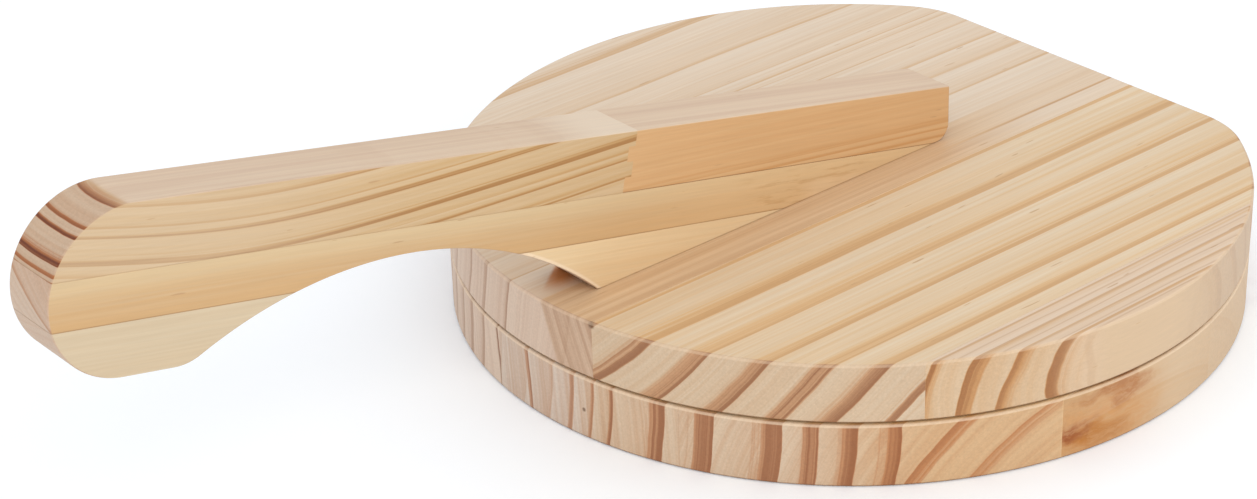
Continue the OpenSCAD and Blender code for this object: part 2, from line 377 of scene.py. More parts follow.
def strip(name, v_from, v_to, u_from=None, u_to=None):
    """One strip of the handle between two depths, and between two places along it if given."""
    bm = handle_blank()
    along = (in_blank(1, 0) - in_blank(0, 0)).normalized()
    down = (in_blank(0, 1) - in_blank(0, 0)).normalized()
    for at, way, sign in (
            (v_from, down, -1), (v_to, down, 1), (u_from, along, -1), (u_to, along, 1)):
        if at is not None:
            cut_off(bm, in_blank(0, 0) + at * way, sign * way)
    return as_object(bm, name)


def finger_cutter():
    """What the rear block of the top strip keeps: all behind the stepped finger joint."""
    wide = 2 * HANDLE_HALF_T
    far, over = -HANDLE_W, 5 * MM
    depths = [i * UPPER_GLUE / FINGERS for i in range(FINGERS + 1)]
    depths[0], depths[-1] = -over, UPPER_GLUE + over
    outline = Outline(in_blank(far, -over, -wide))
    for i in range(FINGERS):
        u = FINGER_U - (FINGER_L if i % 2 == 0 else 0)
        outline.line(in_blank(u, depths[i], -wide))
        outline.line(in_blank(u, depths[i + 1], -wide))
    outline.line(in_blank(far, UPPER_GLUE + over, -wide))
    return as_object(outline.solid((2 * wide, 0, 0)), "finger cutter")


def make_handle(holes, woods):
    cutter = finger_cutter()
    cuts = {
        "handle_top_front": (None, UPPER_GLUE),
        "handle_top_rear": (None, UPPER_GLUE),
        "handle_middle": (UPPER_GLUE, LOWER_GLUE),
        "handle_heel": (LOWER_GLUE, None, None, NECK_U),
        "handle_belly": (LOWER_GLUE, None, NECK_U, None)}
    pieces = {node: strip(node + "_sawn", *cut) for node, cut in cuts.items()}
    carve(pieces["handle_top_front"], cutter)
    carve(pieces["handle_top_rear"], cutter, "INTERSECT")
    for node, piece in pieces.items():
        for hole in holes:
            carve(piece, hole)
        smooth_over(piece)
        hand_over(piece, node, "lid", woods[node])
    bpy.data.objects.remove(cutter)


# ---------------------------------------- hinges

def leaf_outline(own, foot_gap):
    """Front view of a leaf about the pin's axis, its plate upwards; own are its knuckles' spans."""
    half, top = HINGE_W / 2, LEAF_H - LEAF_CORNER_R
    back = (0, -1, 0)
    edge = LEAF_T - BARREL_R
    outline = Outline((-half, edge, top))
    outline.arc((LEAF_CORNER_R - half, edge, top), back, -math.pi / 2, STEPS["leaf corner"])
    outline.line((half - LEAF_CORNER_R, edge, LEAF_H))
    outline.arc((half - LEAF_CORNER_R, edge, top), back, -math.pi / 2, STEPS["leaf corner"])
    height = 0.0 if own[-1][1] > half - KNUCKLE_GAP else foot_gap
    outline.line((half, edge, height))
    for low, high in reversed(own):
        for x in (high, low):
            if abs(x) < half - KNUCKLE_GAP:
                outline.line((x, edge, height))
                height = foot_gap - height
                outline.line((x, edge, height))
    outline.line((-half, edge, height))
    return outline


def rolled_leaf(name, own):
    """A stamped leaf whose feet are rolled round the pin into knuckles."""
    bm = leaf_outline(own, BARREL_R + KNUCKLE_GAP).solid((0, -LEAF_T, 0))
    feet = [f for f in bm.faces if f.normal.z < -0.9 and abs(f.calc_center_median().z) < SAME]
    for foot in feet:
        bmesh.ops.spin(
            bm, geom=[foot] + foot.edges[:] + foot.verts[:], cent=(0, 0, 0), axis=(1, 0, 0),
            angle=ROLL, steps=STEPS["roll"])
    bmesh.ops.remove_doubles(bm, verts=bm.verts, dist=WELD)
    bmesh.ops.recalc_face_normals(bm, faces=bm.faces)
    sharp = [e for e in bm.edges if e.is_manifold and e.calc_face_angle(0) > math.radians(50)]
    round_edges(bm, sharp, LEAF_ROUND, 2)
    return as_object(bm, name)


def pin_profile():
    """Half section of a riveted pin, drawn along Z, with a domed head at each end."""
    half = HINGE_W / 2
    dome = [math.radians(a) for a in (90, 67, 45, 22, 0)]
    upper = [(PIN_HEAD_R * math.cos(a), 0, half + PIN_HEAD_T * math.sin(a)) for a in dome]
    lower = [(x, y, -z) for x, y, z in reversed(upper)]
    return upper + [(PIN_R, 0, half), (PIN_R, 0, -half)] + lower


def recess_blade(head, turn):
    """Cutter for one slot of a cross recess, which narrows inwards."""
    bm = bmesh.new()
    bmesh.ops.create_cone(
        bm, cap_ends=True, segments=4, radius1=RECESS_FOOT * head, radius2=RECESS_MOUTH * head,
        depth=RECESS_DEPTH * head)
    bmesh.ops.rotate(bm, matrix=Matrix.Rotation(math.pi / 4, 3, "Z"), verts=bm.verts)
    bmesh.ops.scale(bm, vec=(1, RECESS_NARROW, 1), verts=bm.verts)
    bmesh.ops.rotate(bm, matrix=Matrix.Rotation(turn, 3, "Z"), verts=bm.verts)
    return as_object(bm, "recess")


def screw(sizes):
    """A countersunk screw with a rolled thread and a tapered cross recess."""
    shank, length, head_h = sizes["shank"], sizes["length"], sizes["head_h"]
    root, pitch = THREAD_ROOT * shank, THREAD_PITCH * shank
    smooth_end = -head_h - SMOOTH_SHANK * length
    tip = 2 * shank - length
    profile = [(0, 0, 0), (sizes["head"], 0, 0), (shank, 0, -head_h), (shank, 0, smooth_end)]
    for i in range(int((smooth_end - tip) / pitch)):
        z = smooth_end - i * pitch
        profile += [(root, 0, z - ROOT_AT * pitch), (shank, 0, z - CREST_AT * pitch)]
    profile += [(root, 0, tip), (0, 0, -length)]
    made = as_object(turned(profile), "screw")
    for turn in (0, math.pi / 2):
        blade = recess_blade(sizes["head"], turn)
        carve(made, blade)
        bpy.data.objects.remove(blade)
    bm = bmesh.new()
    bm.from_mesh(made.data)
    bpy.data.objects.remove(made)
    return bm


def make_hinges(leaf_holes):
    plated, pin_steel = zinc("zinc plate of hinges", 0.34), zinc("polished pin steel", 0.24)
    third = HINGE_W / 3
    middle = [(-third / 2, third / 2)]
    outer = [(-HINGE_W / 2, -third / 2 - KNUCKLE_GAP), (third / 2 + KNUCKLE_GAP, HINGE_W / 2)]
    for side, x in HINGE_X.items():
        axis = Matrix.Translation((x, AXIS_Y, AXIS_Z))
        lid_leaf = rolled_leaf(side + "_lid_leaf_rolled", middle)
        base_leaf = rolled_leaf(side + "_base_leaf_rolled", outer)
        pin = as_object(turned(pin_profile()), side + "_pin_riveted")
        lid_leaf.data.transform(axis)
        base_leaf.data.transform(axis @ Matrix.Rotation(math.pi, 4, "Y"))
        pin.data.transform(axis @ Matrix.Rotation(math.pi / 2, 4, "Y"))
        for piece in (lid_leaf, base_leaf):
            carve(piece, leaf_holes)
        for piece, node, body, steel in (
                (lid_leaf, "lid_leaf", "lid", plated), (base_leaf, "base_leaf", "base", plated),
                (pin, "pin", "base", pin_steel)):
            smooth_over(piece, angle=40)
            hand_over(piece, "hinge_" + side + "_" + node, body, steel)


def make_screws():
    plated = zinc("zinc plate of screws", 0.28)
    for node, body, sizes, places in (
            ("base_hinge_screws", "base", LEAF_SCREW, leaf_screw_places(-1)),
            ("lid_hinge_screws", "lid", LEAF_SCREW, leaf_screw_places(1)),
            ("handle_screws", "lid", HANDLE_SCREW, handle_screw_places())):
        piece = as_object(at_places(screw(sizes), places), node + "_turned")
        smooth_over(piece, angle=40)
        hand_over(piece, node, body, plated)


# ---------------------------------------- materials

def tint(red, green, blue):
    """A colour from 0 to 255, as a linear one."""
    linear = [
        c / 12.92 if c <= 0.04045 else ((c + 0.055) / 1.055) ** 2.4
        for c in (red / 255, green / 255, blue / 255)]
    return (*linear, 1.0)


class Shader:
    """A material's nodes, added one at a time. A value is a number, a colour or another node's output."""

    def __init__(self, name):
        self.material = bpy.data.materials.new(name)
        self.material.use_nodes = True
        self.tree = self.material.node_tree
        self.tree.nodes.clear()
        self.surface = self.node("BsdfPrincipled")
        self.node("OutputMaterial", self.surface.outputs["BSDF"])
        coords = self.node("TexCoord")
        self.object_place = coords.outputs["Object"]
        self.normal = coords.outputs["Normal"]

    def node(self, kind, *values, **settings):
        """Adds a node with its settings, and gives its first sockets their values."""
        node = self.tree.nodes.new("ShaderNode" + kind)
        for name, setting in settings.items():
            setattr(node, name, setting)
        for socket, value in zip(node.inputs, values):
            self.feed(socket, value)
        return node

    def feed(self, socket, value):
        if isinstance(value, bpy.types.NodeSocket):
            self.tree.links.new(value, socket)
        else:
            socket.default_value = value

    def math(self, operation, *values, clamp=False):
        return self.node("Math", *values, operation=operation, use_clamp=clamp).outputs[0]

    def within(self, *shares):
        """The product of shares: it is 1 only where all of them are."""
        whole = shares[0]
        for share in shares[1:]:
            whole = self.math("MULTIPLY", whole, share)
        return whole

    def vector(self, operation, *values):
        node = self.node("VectorMath", *values, operation=operation)
        return node.outputs["Value" if operation in ("LENGTH", "DOT_PRODUCT") else "Vector"]

    def scaled(self, place, share):
        """A vector or colour times a share."""
        node = self.node("VectorMath", place, operation="SCALE")
        self.feed(node.inputs["Scale"], share)
        return node.outputs["Vector"]

    def millimetres(self, rotation=(0, 0, 0), location=(0, 0, 0)):
        """The place on the object in millimetres, turned and then moved."""
        scale = (1 / MM, 1 / MM, 1 / MM)
        return self.node("Mapping", self.object_place, location, rotation, scale).outputs["Vector"]

    def split(self, place):
        return self.node("SeparateXYZ", place).outputs[:]

    def join(self, x, y, z):
        return self.node("CombineXYZ", x, y, z).outputs[0]

    def noise(self, place, scale, detail=2.0, roughness=0.5, colour=False):
        node = self.node("TexNoise", place)
        node.inputs["Scale"].default_value = scale
        node.inputs["Detail"].default_value = detail
        node.inputs["Roughness"].default_value = roughness
        return node.outputs["Color" if colour else "Fac"]

    def grain(self, place, stretch, scale, detail, roughness):
        """Noise drawn out along Y; stretch is the share of the scale that it has there."""
        return self.noise(self.vector("MULTIPLY", place, (1, stretch, 1)), scale, detail, roughness)

    def lines(self, across, y, stretch, scale):
        """Fine lines along Y, laid side by side in the direction in which across grows."""
        at = self.join(across, self.math("MULTIPLY", y, stretch), 0.0)
        return self.noise(at, scale, detail=4.0, roughness=0.6)

    def ramp(self, value, stops):
        """Blends between stops, each a place from 0 to 1 and a colour."""
        node = self.node("ValToRGB", value)
        band = node.color_ramp
        while len(band.elements) > 1:
            band.elements.remove(band.elements[-1])
        band.elements[0].position, band.elements[0].color = stops[0]
        for place, colour in stops[1:]:
            band.elements.new(place).color = colour
        return node.outputs["Color"]

    def span(self, value, low, high, out_low=0.0, out_high=1.0, smooth=True):
        """Maps the span of a value from low to high to one from out_low to out_high, clamped."""
        node = self.node(
            "MapRange", value, low, high, out_low, out_high,
            interpolation_type="SMOOTHSTEP" if smooth else "LINEAR")
        return node.outputs["Result"]

    def mix(self, share, first, second, blend="MIX"):
        node = self.node("Mix", share, data_type="RGBA", blend_type=blend)
        self.feed(node.inputs[6], first)
        self.feed(node.inputs[7], second)
        return node.outputs[2]

    def mix_all(self, share, colours, second, blend="MIX"):
        """Lays one colour over each of some others."""
        return [self.mix(share, colour, second, blend) for colour in colours]

    def bump(self, height, strength, distance):
        node = self.node("Bump")
        self.feed(node.inputs["Height"], height)
        node.inputs["Strength"].default_value = strength
        node.inputs["Distance"].default_value = distance
        self.give("Normal", node.outputs["Normal"])

    def give(self, socket, value):
        """Gives one of the surface's own sockets its value."""
        self.feed(self.surface.inputs[socket], value)


# ---------------------------------------- tones of the wood

def tones(cream, tan, amber, late):
    """One kind of pine, from its early wood to the dark edge of a ring."""
    return {"cream": tint(*cream), "tan": tint(*tan), "amber": tint(*amber), "late": tint(*late)}


# Planed faces of the boards
FACE = tones((218, 200, 173), (213, 181, 138), (210, 174, 129), (197, 158, 113))
ROSY_FACE = tones((216, 195, 172), (212, 186, 157), (207, 177, 142), (196, 158, 118))
PALE_FACE = tones((219, 203, 183), (212, 188, 160), (204, 172, 135), (186, 148, 110))

# End grain of the boards, where late wood is much darker
END = tones((203, 181, 154), (194, 164, 132), (186, 143, 106), (148, 102, 70))
PINK_END = tones((209, 187, 167), (197, 170, 149), (176, 144, 121), (140, 103, 80))
RUSSET_END = tones((203, 180, 154), (190, 155, 124), (180, 132, 96), (148, 98, 66))
AMBER_END = tones((206, 179, 147), (200, 165, 126), (190, 142, 94), (156, 104, 62))
ORANGE_END = tones((202, 169, 132), (196, 158, 118), (188, 142, 96), (160, 108, 64))

# Sides of the handle's strips, and the end grain of its top strip and of what lies below that
GOLDEN = tones((204, 177, 140), (196, 163, 118), (189, 149, 99), (164, 120, 73))
BLOND = tones((205, 187, 158), (201, 180, 149), (196, 170, 134), (182, 151, 112))
STRAW = tones((204, 177, 141), (199, 164, 120), (194, 154, 103), (176, 132, 83))
PALE_STRAW = tones((223, 197, 157), (219, 189, 146), (210, 173, 127), (190, 148, 100))
ORANGE = tones((212, 174, 128), (206, 163, 116), (199, 151, 99), (176, 127, 74))
TIP_END = tones((194, 169, 144), (183, 151, 123), (162, 102, 60), (104, 50, 24))
LOW_END = tones((199, 176, 155), (190, 159, 134), (168, 118, 82), (134, 90, 64))

# What lies in or on the wood, and the tints of painted light and shade on it
RESIN = tint(178, 140, 100)
# Pale tint of the painted highlights on rounded edges
PAINTED_HIGHLIGHT = tint(236, 213, 184)
# Dark brown of glue lines, also used for the painted shade on the boards' lower rims
GLUE_AND_SHADE = tint(134, 92, 54)
# Warm brown of the painted shadow on the lid under the handle's arch
ARCH_SHADOW_BROWN = tint(190, 118, 48)
PITCH = tint(96, 66, 40)
PLAIN_RIM = tint(204, 177, 145)
# What a stave's colour is multiplied by to make it rosier or warmer
ROSIER = (1.0, 1.08, 1.25, 1.0)
WARMER = (1.0, 0.86, 0.67, 1.0)


# ---------------------------------------- growth rings

# Fine figure of the wood: stretch along the grain, scale, detail and roughness of its noise
FIBRE = 0.03, 1.7, 3.0, 0.6
CANALS = 0.1, 0.9, 1.0, 0.4
CLOUD = 0.3, 0.035, 2.0, 0.5
DRIFT = 0.3, 0.05, 2.0, 0.5
STREAK = 0.015, 0.35, 3.0, 0.55
TEARS = 0.1, 0.8, 4.0, 0.6
# Scale, detail and roughness of the pores in end grain
PORES = 1.4, 2.0, 0.7
# Stretch along the grain and scale of the fine lines in growth rings and in heartwood
RING_LINES = 0.007, 0.85
HEART_LINES = 0.008, 0.6


def blank_place(shader):
    """Millimetres in the handle's blank: Y is minus the way along it, Z minus the depth in it."""
    turn = Matrix.Rotation(HANDLE_SLOPE, 3, "X")
    origin = turn @ Vector((0, HANDLE_REAR_Y, HANDLE_REAR_Z)) / MM
    return shader.millimetres(rotation=(HANDLE_SLOPE, 0, 0), location=-origin)


def board_place(shader):
    """Millimetres in the frame of the whole press."""
    return shader.millimetres()


def wandered(shader, place, amount):
    """The place with a slow drift, so that no ring runs dead straight."""
    slow = shader.vector("MULTIPLY", place, (0.06, 0.008, 0.06))
    drift = shader.noise(slow, 1.0, 3.0, 0.5, colour=True)
    centred = shader.vector("SUBTRACT", drift, (0.5, 0.5, 0.5))
    moved = shader.vector("MULTIPLY", centred, (2 * amount, 0, 2 * amount))
    return shader.vector("ADD", place, moved)


def round_pith(pith_x, pith_z):
    """Distance from a pith that runs along the grain."""
    def distance(shader, place):
        from_pith = shader.vector("SUBTRACT", place, (pith_x, 0, pith_z))
        across = shader.vector("MULTIPLY", from_pith, (1, 0, 1))
        return shader.vector("LENGTH", across)
    return distance


def flat_rings(tilt, lean=0.0):
    """Distance down through flat rings, tilted across the blank by degrees and leaning along it."""
    slope = math.radians(tilt)
    def distance(shader, place):
        return shader.vector("DOT_PRODUCT", place, (-math.sin(slope), lean, -math.cos(slope)))
    return distance


def sagging_rings(shader, place):
    """Distance below a ring that sags along the handle and arches under a pith above it."""
    lowest_u, lowest_v, bend, steepness, arch_r = 254, 17.4, 40, 6.4, 100
    x, y, z = shader.split(place)
    along = shader.math("DIVIDE", shader.math("ADD", y, lowest_u), bend)
    square = shader.math("MULTIPLY_ADD", along, along, 1.0)
    rise = shader.math("SUBTRACT", shader.math("SQRT", square), 1.0)
    sag = shader.math("MULTIPLY_ADD", rise, -steepness, lowest_v)
    depth = shader.math("SUBTRACT", shader.math("SUBTRACT", arch_r, z), sag)
    arch = shader.vector("LENGTH", shader.join(x, depth, 0.0))
    return shader.math("SUBTRACT", arch, arch_r)


def ring_bands(shader, distance, rings, lines):
    """Darkness of the late wood, and the slow tone that builds up in each ring before it.

    A ring is the distance of its outer edge, the width of its late wood and its darkness. One of
    darkness 0 isn't seen, and only starts the tone anew."""
    edge_blur, least_early, before_first, after_last = 0.25, 0.5, 12, 1
    low = rings[0][0] - before_first
    high = rings[-1][0] + after_last
    stops = []
    before = low
    for edge, late, depth in rings:
        start = max(edge - late, before + least_early)
        for at, share in ((start, 0.0), (edge, 1.0), (edge + edge_blur, 0.0)):
            tone = 0.0 if at > edge else (at - before) / (edge - before)
            stops.append(((at - low) / (high - low), (share, tone, depth, 1)))
        before = edge + edge_blur
    bands = shader.ramp(shader.span(distance, low, high, smooth=False), stops)
    share, tone, depth = shader.node("SeparateColor", bands).outputs
    frayed = shader.math("ADD", share, shader.span(lines, 0.25, 0.75, -0.45, 0.45, smooth=False))
    dark = shader.within(shader.span(frayed, 0.0, 1.0), shader.span(share, 0.0, 0.25), depth)
    return dark, tone


def grown(shader, place, growths):
    """Darkness, tone and fine lines of all growths; the first sets the tone, the last the lines."""
    y = shader.split(place)[1]
    bands = []
    for distance_of, rings in growths:
        distance = distance_of(shader, place)
        lines = shader.lines(distance, y, *RING_LINES)
        bands.append(ring_bands(shader, distance, rings, lines))
    dark, tone = bands[0]
    for more, _ in bands[1:]:
        dark = shader.math("MAXIMUM", dark, more)
    return dark, tone, lines


def toned(shader, kind, tone, dark):
    """The colour of one kind of pine."""
    early = shader.mix(tone, kind["cream"], kind["tan"])
    building = shader.mix(shader.span(dark, 0.0, 0.5), early, kind["amber"])
    return shader.mix(shader.span(dark, 0.4, 1.0), building, kind["late"])


def eased_rims(shader, colour, rim_highlight):
    """A board's rounded rims: the upper one gets a painted highlight, the lower one painted shade."""
    gap_shade = 0.75
    upward = shader.split(shader.normal)[2]
    upper = shader.within(shader.span(upward, 0.1, 0.4), shader.span(upward, 0.985, 0.8), rim_highlight)
    lower = shader.within(shader.span(upward, -0.2, -0.6), shader.span(upward, -0.99, -0.9), gap_shade)
    return shader.mix(lower, shader.mix(upper, colour, PAINTED_HIGHLIGHT), GLUE_AND_SHADE)


def on_rim(shader):
    """1 on a board's upright rim, 0 on its flat faces."""
    upward = shader.split(shader.normal)[2]
    return shader.span(shader.math("ABSOLUTE", upward), 0.9, 0.6)


def on_end(shader, place_of):
    """1 on end grain, 0 where the surface runs along the grain."""
    slope = HANDLE_SLOPE if place_of is blank_place else 0.0
    grain = (0, math.cos(slope), -math.sin(slope))
    along = shader.math("ABSOLUTE", shader.vector("DOT_PRODUCT", shader.normal, grain))
    return shader.span(along, 0.06, 0.34)


def pine(node, place_of, growths, face, end, figure=None, wander=0.7, rim_highlight=0.0):
    """Planed pine of one piece, whose grain runs along Y of its place.

    growths are pairs of a distance and the rings at it; figure adds what the piece has alone."""
    shader = Shader("pine of " + node.replace("handle_", "the ").replace("_", " "))
    place = place_of(shader)
    dark, tone, lines = grown(shader, wandered(shader, place, wander), growths)
    fibre = shader.grain(place, *FIBRE)
    canals = shader.grain(place, *CANALS)
    cloud = shader.grain(place, *CLOUD)
    pores = shader.noise(place, *PORES)
    tone = shader.math("ADD", shader.math("MULTIPLY", tone, 0.7),
                       shader.span(lines, 0.3, 0.7, -0.3, 0.7, smooth=False), clamp=True)
    face_dark = shader.span(dark, 0.25, 1.0, 0.0, 0.95, smooth=False)
    colours = toned(shader, face, tone, face_dark), toned(shader, end, tone, dark)
    if figure:
        colours = figure(shader, place, colours)
    resin = shader.span(canals, 0.76, 0.80, 0.0, 0.6)
    end_grain = on_end(shader, place_of)
    colour = shader.mix(end_grain, shader.mix(resin, colours[0], RESIN), colours[1])
    # Painted highlight on a board's upper rounded rim and painted shade on its lower one
    if rim_highlight:
        colour = eased_rims(shader, colour, rim_highlight)
    # Fibres and clouds shade the wood by a few hundredths, and pores pit its end grain
    shade = shader.math("ADD", shader.span(fibre, 0.25, 0.75, 0.955, 1.045, smooth=False),
                        shader.span(cloud, 0.3, 0.7, -0.02, 0.02, smooth=False))
    pitted = shader.span(pores, 0.3, 0.7, -0.055, 0.055, smooth=False)
    shade = shader.math("MULTIPLY_ADD", pitted, end_grain, shade)
    shader.give("Base Color", shader.scaled(colour, shade))
    shader.give("Roughness", shader.span(fibre, 0.3, 0.7, 0.52, 0.66))
    shader.give("Specular IOR Level", 0.3)
    shader.bump(shader.math("MULTIPLY_ADD", dark, 0.25, fibre), strength=0.22, distance=0.0001)
    return shader.material


# ---------------------------------------- figure of single pieces

# A figure takes a piece's colours on its face and on its end grain, and gives them back changed

def fleck(centre, radius):
    """A small dark fleck of pitch, centred on a place in the board."""
    def figure(shader, place, colours):
        away = shader.vector("LENGTH", shader.vector("SUBTRACT", place, centre))
        share = shader.span(away, radius, radius / 3, 0.0, 0.75)
        return shader.mix_all(share, colours, PITCH)
    return figure


# At the front end of the glue line between the lid's middle staves
GLUE_FLECK = fleck((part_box("lid_stave_2")[1].x / MM, -117.9, 37.4), 1.5)


def painted_shadow_before_heel(shader, place):
    """Share of the painted shadow on the lid under the arch, in front of the heel."""
    heel_y, reach, strength = -104.4, 14.0, 0.88
    left_x, left_slant, right_x, right_slant = -10.5, 0.74, 7.5, -0.4
    x, y, z = shader.split(place)
    ahead = shader.math("SUBTRACT", heel_y, y)
    left = shader.math("MULTIPLY_ADD", ahead, left_slant, left_x)
    right = shader.math("MULTIPLY_ADD", ahead, right_slant, right_x)
    inside = shader.math("MINIMUM", shader.math("SUBTRACT", x, left),
                         shader.math("SUBTRACT", right, x))
    wedge = shader.within(
        shader.span(ahead, reach, 3.0), shader.span(ahead, -1.0, -0.4), shader.span(inside, -0.4, 1.4))
    darker_left = shader.span(x, 3.5, -4.0, 0.1, 1.0)
    top = shader.span(z, LID_Z[1] / MM - 0.5, LID_Z[1] / MM - 0.2, 0.0, strength)
    return shader.within(wedge, darker_left, top)


def heart_zone(shader, place, colours):
    """The darker heartwood along one side of the lid's second stave, its edge leaning in."""
    edge, blur, lean = 15.4, 1.4, 0.36
    x, y, z = shader.split(place)
    across = shader.math("MULTIPLY_ADD", z, lean, x)
    streak = shader.span(shader.lines(across, y, *HEART_LINES), 0.3, 0.7)
    zone = shader.within(shader.span(across, edge, edge + blur), shader.span(y, 75, 20, 0.15, 0.9))
    brown = shader.mix(streak, tint(217, 187, 150), tint(199, 163, 124))
    end_brown = shader.mix(streak, tint(197, 168, 142), tint(172, 137, 109))
    # A painted shadow darkens the lid under the heel's arch
    face = shader.mix(painted_shadow_before_heel(shader, place), shader.mix(zone, colours[0], brown), ARCH_SHADOW_BROWN)
    return GLUE_FLECK(shader, place, (face, shader.mix(zone, colours[1], end_brown)))


def calm_rim(shader, place, colours):
    """The lid's right stave: fine lines on its top, and a rim where the rings hardly show."""
    line_pitch, waver = 2.9, 7.0
    x, y = shader.split(place)[:2]
    drift = shader.grain(place, *DRIFT)
    phase = shader.math("MULTIPLY_ADD", drift, waver,
                        shader.math("MULTIPLY", x, 2 * math.pi / line_pitch))
    fine = shader.span(shader.math("SINE", phase), 0.7, 0.98, 0.0, 0.55)
    lined = shader.mix(fine, colours[0], tint(190, 160, 132)), colours[1]
    calm = shader.within(shader.span(y, -26, -15, 0.0, 0.85), on_rim(shader))
    plain = shader.mix(shader.span(y, 5, 45), tint(205, 178, 145), tint(196, 172, 146))
    return shader.mix_all(calm, lined, plain)


def rosy_side(shader, place, colours):
    """The base's middle stave is rosier along its left side, with a dark fleck on its rim."""
    rosy = shader.span(shader.split(place)[0], 26, 12)
    rosier = shader.mix_all(rosy, colours, ROSIER, "MULTIPLY")
    return fleck((18.2, -118.6, 9.1), 0.9)(shader, place, rosier)


def warm_corner(shader, place, colours):
    """The warmer outer part of the base's fourth stave, whose rim is calm towards the back."""
    x, y = shader.split(place)[:2]
    warm = shader.within(shader.span(x, 74, 104), shader.span(y, 30, 0))
    calm = shader.within(
        shader.span(x, 90, 100), shader.span(y, 0, 12, 0.0, 0.9), on_rim(shader))
    return shader.mix_all(calm, shader.mix_all(warm, colours, WARMER, "MULTIPLY"), PLAIN_RIM)


# Amber stains at the front of the base's rim: centre (y, z), reach in y and z, strength, colour
STAINS = [
    ((-15, 7), (26, 16), 0.85, tint(194, 136, 78)),
    ((-8, 15.2), (11, 5.4), 1.0, tint(164, 92, 4)),
    ((-14, 17.6), (15, 3.0), 1.0, tint(160, 90, 10)),
    ((-19, 4.5), (14, 6.0), 1.0, tint(172, 104, 22)),
    ((-27, 7.5), (9, 4.8), 1.0, tint(146, 72, 14))]


def amber_rim(shader, place, colours):
    """The orange outer stave of the base, with amber stains at the front of its rim."""
    cover = 0.8
    y = shader.split(place)[1]
    swirl = shader.noise(place, 0.12, 3.0, 0.55, colour=True)
    moved = shader.vector("MULTIPLY_ADD", swirl, (0, 16, 8), (0, -8, -4))
    warped = shader.vector("ADD", place, moved)
    ground = shader.mix(shader.span(y, -16, 16), tint(189, 146, 99), PLAIN_RIM)
    rim = shader.mix(cover, colours[1], ground)
    streaks = shader.noise(shader.vector("MULTIPLY", warped, (1, 0.35, 1.5)), 0.5, 4.0, 0.6)
    broken = shader.span(streaks, 0.36, 0.58, 0.5, 1.0)
    for (y_at, z_at), (y_reach, z_reach), strength, stain in STAINS:
        away = shader.vector("SUBTRACT", warped, (0, y_at, z_at))
        away = shader.vector("LENGTH", shader.vector("MULTIPLY", away, (0, 1 / y_reach, 1 / z_reach)))
        share = shader.within(broken, shader.span(away, 1.0, 0.25, 0.0, strength))
        rim = shader.mix(share, rim, stain)
    return shader.mix(cover, colours[0], rim), rim


def planed_top(shader, place, colours):
    """The handle's top face, which lies in pale early wood."""
    z = shader.split(place)[2]
    streak = shader.span(shader.grain(place, *STREAK), 0.35, 0.65)
    pale = shader.mix(streak, tint(203, 178, 155), tint(212, 191, 167))
    return shader.mix(shader.span(z, -0.35, -0.1, 0.0, 0.9), colours[0], pale), colours[1]


def pale_tip(shader, place, colours):
    """The front block of the top strip: it pales towards its end, and on top by the finger joint."""
    y, z = shader.split(place)[1:]
    paled = shader.mix(shader.span(y, -190, -270, 0.0, 0.4), colours[0], tint(206, 184, 156))
    face, end = planed_top(shader, place, (paled, colours[1]))
    patch = shader.within(shader.span(y, -156, -134, 0.0, 0.75), shader.span(z, -0.35, -0.1))
    return shader.mix(patch, face, tint(221, 204, 182)), end


def torn_grain(shader, place, colours):
    """The middle strip darkens downwards and has short tears at the rear, low down by the lid."""
    y, z = shader.split(place)[1:]
    face = shader.mix(shader.span(z, -26, -18, 0.0, 0.8), colours[0], tint(210, 186, 147))
    face = shader.mix(shader.span(z, -23, -30.5, 0.0, 0.55), face, tint(199, 158, 108))
    face = shader.mix(shader.span(y, -150, -60, 0.0, 0.6), face, tint(221, 187, 141))
    tears = shader.grain(place, *TEARS)
    patch = shader.within(
        shader.span(y, -90, -66), shader.span(y, -24, -40), shader.span(z, -18, -21))
    torn = shader.within(patch, shader.span(tears, 0.5, 0.66, 0.0, 0.45))
    rubbed = shader.within(
        shader.span(y, -60, -50), shader.span(y, -26, -36), shader.span(z, -22.5, -25.0, 0.0, 0.55))
    face = shader.mix(torn, face, tint(184, 141, 90))
    return shader.mix(rubbed, face, tint(222, 192, 153)), colours[1]


def arch_edge_highlight(shader, place, colours):
    """The heel's arched edge, with a painted highlight along it on the sides."""
    neck_centre = (0, -NECK_U / MM, -(NECK_H + NECK_R) / MM)
    from_centre = shader.vector("MULTIPLY", shader.vector("SUBTRACT", place, neck_centre), (0, 1, 1))
    beyond = shader.math("SUBTRACT", shader.vector("LENGTH", from_centre), NECK_R / MM)
    wear_and_highlight = shader.span(beyond, 1.3, 0.7, 0.0, 0.75)
    return shader.mix(wear_and_highlight, colours[0], PAINTED_HIGHLIGHT), colours[1]


def glued_below(depth, strength, also):
    """A dark line where glue has been squeezed out along a strip's lower edge."""
    def figure(shader, place, colours):
        colours = also(shader, place, colours)
        z = shader.split(place)[2]
        line = shader.span(z, 0.45 - depth, 0.1 - depth, 0.0, strength)
        return shader.mix_all(line, colours, GLUE_AND_SHADE)
    return figure


def seated(also):
    """The dark line where a strip of the handle stands on the lid."""
    def figure(shader, place, colours):
        colours = also(shader, place, colours)
        height = shader.split(board_place(shader))[2]
        foot = shader.span(height, LID_Z[1] / MM + 0.55, LID_Z[1] / MM + 0.1, 0.0, 0.55)
        return shader.mix_all(foot, colours, GLUE_AND_SHADE)
    return figure


# ---------------------------------------- woods of the pieces

# A wood is a piece's growths, its tones on faces and on end grain, its figure and its wander

def rings_every(first, step, count, late, depth):
    return [(first + i * step, late, depth) for i in range(count)]


